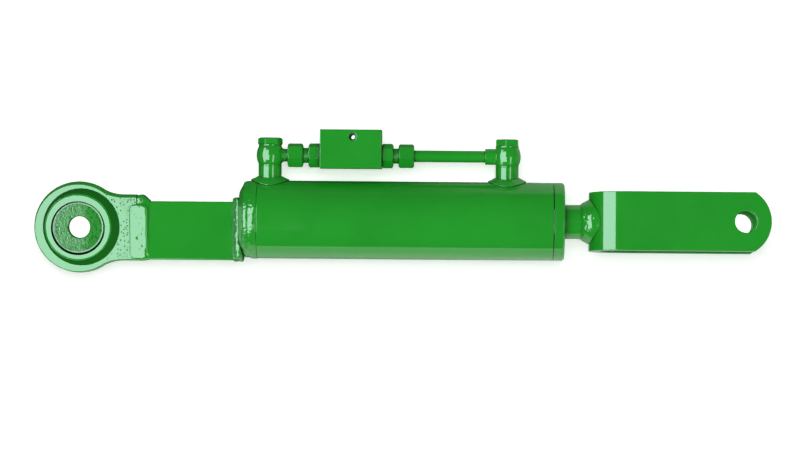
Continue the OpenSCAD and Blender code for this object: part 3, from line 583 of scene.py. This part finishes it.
def bead(node, voxel, rounding, lumps, ripples, body="barrel", pad=None):
    """A weld bead: its solid remeshed, its edges rounded off in that many rounds, then laid over
    with lumps and ripples. voxel, lumps and ripples are in millimetres, and pad is the place, size
    and turn of a flat run of weld across it."""
    piece = copy_of(node, node + "_bead")
    if pad:
        run = weld_run(*pad)
        only(piece)
        run.select_set(True)
        bpy.ops.object.join()
    steps = [
        ("REMESH", {"mode": "VOXEL", "voxel_size": voxel * MM, "adaptivity": 0.0}),
        ("CORRECTIVE_SMOOTH", {"iterations": rounding, "smooth_type": "SIMPLE", "factor": 0.5,
                               "use_only_smooth": True}),
    ]
    for label, size, depth in (("lumps", 9 * MM, lumps), ("ripples", 2.6 * MM, ripples)):
        texture = bpy.data.textures.new(f"{node}_{label}", "CLOUDS")
        texture.noise_scale = size
        steps.append(("DISPLACE", {"texture": texture, "texture_coords": "LOCAL",
                                   "strength": depth * MM, "mid_level": 0.5}))
    for kind, settings in steps:
        modifier = piece.modifiers.new(kind.lower(), kind)
        for key, value in settings.items():
            setattr(modifier, key, value)
        bpy.ops.object.modifier_apply(modifier=modifier.name)
    bpy.ops.object.shade_smooth()
    piece.data.materials.clear()
    piece.data.materials.append(bead_enamel)
    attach(piece, body)
    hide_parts(node)


EYE_PAD = (
    (62.6 * MM, 0, -3.2 * MM),
    (19.0 * MM, 26.8 * MM, 56.5 * MM),
    (math.radians(6.0), 0, math.radians(-3.0)),
)
bead("eye_weld", voxel=0.6, rounding=5, lumps=0.6, ripples=0.18, pad=EYE_PAD)
bead("bar_weld", voxel=0.6, rounding=3, lumps=2.2, ripples=1.3)
bead("cap_weld", voxel=0.6, rounding=3, lumps=1.2, ripples=0.7)
bead("base_boss_weld", voxel=0.5, rounding=4, lumps=0.9, ripples=0.4)
bead("rod_boss_weld", voxel=0.5, rounding=4, lumps=0.9, ripples=0.4)
bead("clevis_weld", voxel=0.5, rounding=3, lumps=0.7, ripples=0.4, body="rod")


# Camera, light and table

VIEW_CENTRE = (329.2 * MM, 0, 4.9 * MM)
VIEW_WIDTH = 820.5 * MM
SENSOR = 36


def look_from(distance, sideways, above, roll):
    """The camera at the photograph's viewpoint; sideways and above are from the view's centre."""
    centre = Vector(VIEW_CENTRE)
    place = centre + Vector((sideways, -distance, above))
    away = (place - centre).normalized()
    up = Vector((-math.sin(roll), 0, math.cos(roll)))
    right = up.cross(away).normalized()
    up = away.cross(right)
    data = bpy.data.cameras.new("camera")
    data.sensor_width = SENSOR
    data.lens = SENSOR * distance / VIEW_WIDTH
    camera = bpy.data.objects.new("camera", data)
    turn = Matrix((right, up, away)).transposed().to_4x4()
    camera.matrix_world = Matrix.Translation(place) @ turn
    bpy.context.scene.collection.objects.link(camera)
    bpy.context.scene.camera = camera


look_from(distance=2.95, sideways=0.05, above=0.02, roll=math.radians(0.49))

# Panels of light that glossy surfaces reflect, in degrees: from and to, to the left of the camera,
# then from and to, above the horizon.
MINT_PANELS = (((12, 63), (-4, 34)), ((5, 63), (-32, -4.2)))
PALE_PANEL = ((-38, -24), (-40, 3))
MINT_LEVEL = 8.0
PALE_LEVEL = 4.5
ROOM_LEVEL = 0.08  # what they reflect elsewhere
FILL_LEVEL = 0.38  # the even light that falls on everything


def studio_world():
    """White to the camera; to what reflects it, a dim room with pale panels, white at the back."""
    world = bpy.data.worlds.new("studio")
    bpy.context.scene.world = world
    world.use_nodes = True
    tree = world.node_tree
    tree.nodes.clear()
    out = node_of(tree, "ShaderNodeOutputWorld")
    x, y, z = apart(tree, node_of(tree, "ShaderNodeTexCoord").outputs["Generated"])
    leftwards, forwards = (product(tree, part, -1.0) for part in (x, y))
    left = arithmetic(tree, "ARCTAN2", leftwards, forwards)
    rise = arithmetic(tree, "ARCTAN2", z, from_point(tree, x, y))

    def panel(across, up, soft=0.6):
        """1 inside the panel and 0 outside, over an edge of twice soft."""
        edges = []
        for angle, (start, stop) in ((left, across), (rise, up)):
            for end, step in ((start, soft), (stop, -soft)):
                outer, inner = math.radians(end - step), math.radians(end + step)
                edges.append(between(tree, angle, outer, inner))
        return product(tree, *edges)

    behind = between(tree, y, -0.09, -0.05)
    far = product(tree, behind, between(tree, z, 0.1, -0.2, 0.1, 1.2))
    mint = largest(tree, *(panel(*sides) for sides in MINT_PANELS))
    pale = panel(*PALE_PANEL)
    reflected = total(tree, far, ROOM_LEVEL, product(tree, pale, PALE_LEVEL),
                      product(tree, mint, MINT_LEVEL))

    path = node_of(tree, "ShaderNodeLightPath").outputs
    mirrored = largest(tree, path["Is Glossy Ray"], path["Is Transmission Ray"])
    spread = total(tree, product(tree, mirrored, reflected),
                   product(tree, rest_of(tree, mirrored), FILL_LEVEL))
    direct = path["Is Camera Ray"]
    strength = total(tree, direct, product(tree, rest_of(tree, direct), spread))
    background = node_of(tree, "ShaderNodeBackground")
    tint = blend_colours(tree, product(tree, mint, mirrored), WHITE, MINT)
    join(tree, tint, background.inputs["Color"])
    join(tree, strength, background.inputs["Strength"])
    join(tree, background.outputs[0], out.inputs[0])


def white_table():
    """The white table that the link lies on. It looks dimmer in reflections, to the right most of
    all. It can be seen and lit through from behind, so that the far side can be looked at."""
    bpy.ops.object.select_all(action="DESELECT")
    bpy.ops.mesh.primitive_plane_add(size=3.2, location=(MIDDLE[0], TABLE_FACE, 0),
                                     rotation=(math.radians(90), 0, 0))
    table = bpy.context.active_object
    table.name = "table"
    bpy.ops.object.transform_apply(location=True, rotation=True, scale=True)
    material = bpy.data.materials.new("table_white")
    material.use_nodes = True
    tree = material.node_tree
    tree.nodes.clear()
    out = node_of(tree, "ShaderNodeOutputMaterial")
    path = node_of(tree, "ShaderNodeLightPath").outputs
    mirrored = path["Is Glossy Ray"]
    geometry = node_of(tree, "ShaderNodeNewGeometry").outputs
    x, _, z = apart(tree, geometry["Position"])

    cloth = node_of(tree, "ShaderNodeBsdfDiffuse")
    dimmer = between(tree, x, 0.30, 0.52, 0.90, 0.30)
    dimmed = product(tree, mirrored, dimmer, between(tree, z, -0.10, -0.02))
    join(tree, blend_colours(tree, dimmed, TABLE_GREY, BLACK), cloth.inputs["Color"])

    # A glow of its own makes the table white again, in full where it shows through a hole.
    lift = node_of(tree, "ShaderNodeEmission")
    white = between(tree, z, -0.03, 0.02, 0.33, 0.52)
    for centre, reach in THROUGH_HOLES:
        inside = between(tree, from_point(tree, x, z, centre), reach + 2 * MM, reach)
        white = largest(tree, white, inside)
    direct = largest(tree, path["Is Camera Ray"], path["Is Transmission Ray"])
    low_glow = product(tree, mirrored, between(tree, z, 0.02, -0.10, 0.0, 0.05))
    join(tree, total(tree, product(tree, direct, white), low_glow), lift.inputs["Strength"])

    both = node_of(tree, "ShaderNodeAddShader")
    join(tree, cloth.outputs[0], both.inputs[0])
    join(tree, lift.outputs[0], both.inputs[1])
    clear = node_of(tree, "ShaderNodeBsdfTransparent")
    choose = node_of(tree, "ShaderNodeMixShader")
    join(tree, largest(tree, geometry["Backfacing"], path["Is Shadow Ray"]), choose.inputs[0])
    join(tree, both.outputs[0], choose.inputs[1])
    join(tree, clear.outputs[0], choose.inputs[2])
    join(tree, choose.outputs[0], out.inputs[0])
    table.data.materials.append(material)


def soft_lamp(name, place, size, power):
    """A broad lamp aimed at the middle of the part."""
    data = bpy.data.lights.new(name, "AREA")
    data.shape = "RECTANGLE"
    data.size, data.size_y = size
    data.energy = power
    lamp = bpy.data.objects.new(name, data)
    lamp.location = place
    aim = Vector(MIDDLE) - Vector(place)
    lamp.rotation_euler = aim.to_track_quat("-Z", "Y").to_euler()
    lamp.visible_glossy = False
    bpy.context.scene.collection.objects.link(lamp)


studio_world()
white_table()
soft_lamp("key_lamp", (0.28, -2.0, 0.32), size=(1.2, 0.8), power=26)
soft_lamp("back_lamp", (0.38, 2.0, 0.32), size=(1.2, 0.8), power=26)
soft_lamp("low_lamp", (0.33, -1.1, -1.1), size=(1.4, 0.5), power=9)

bpy.context.scene.view_settings.view_transform = "Standard"
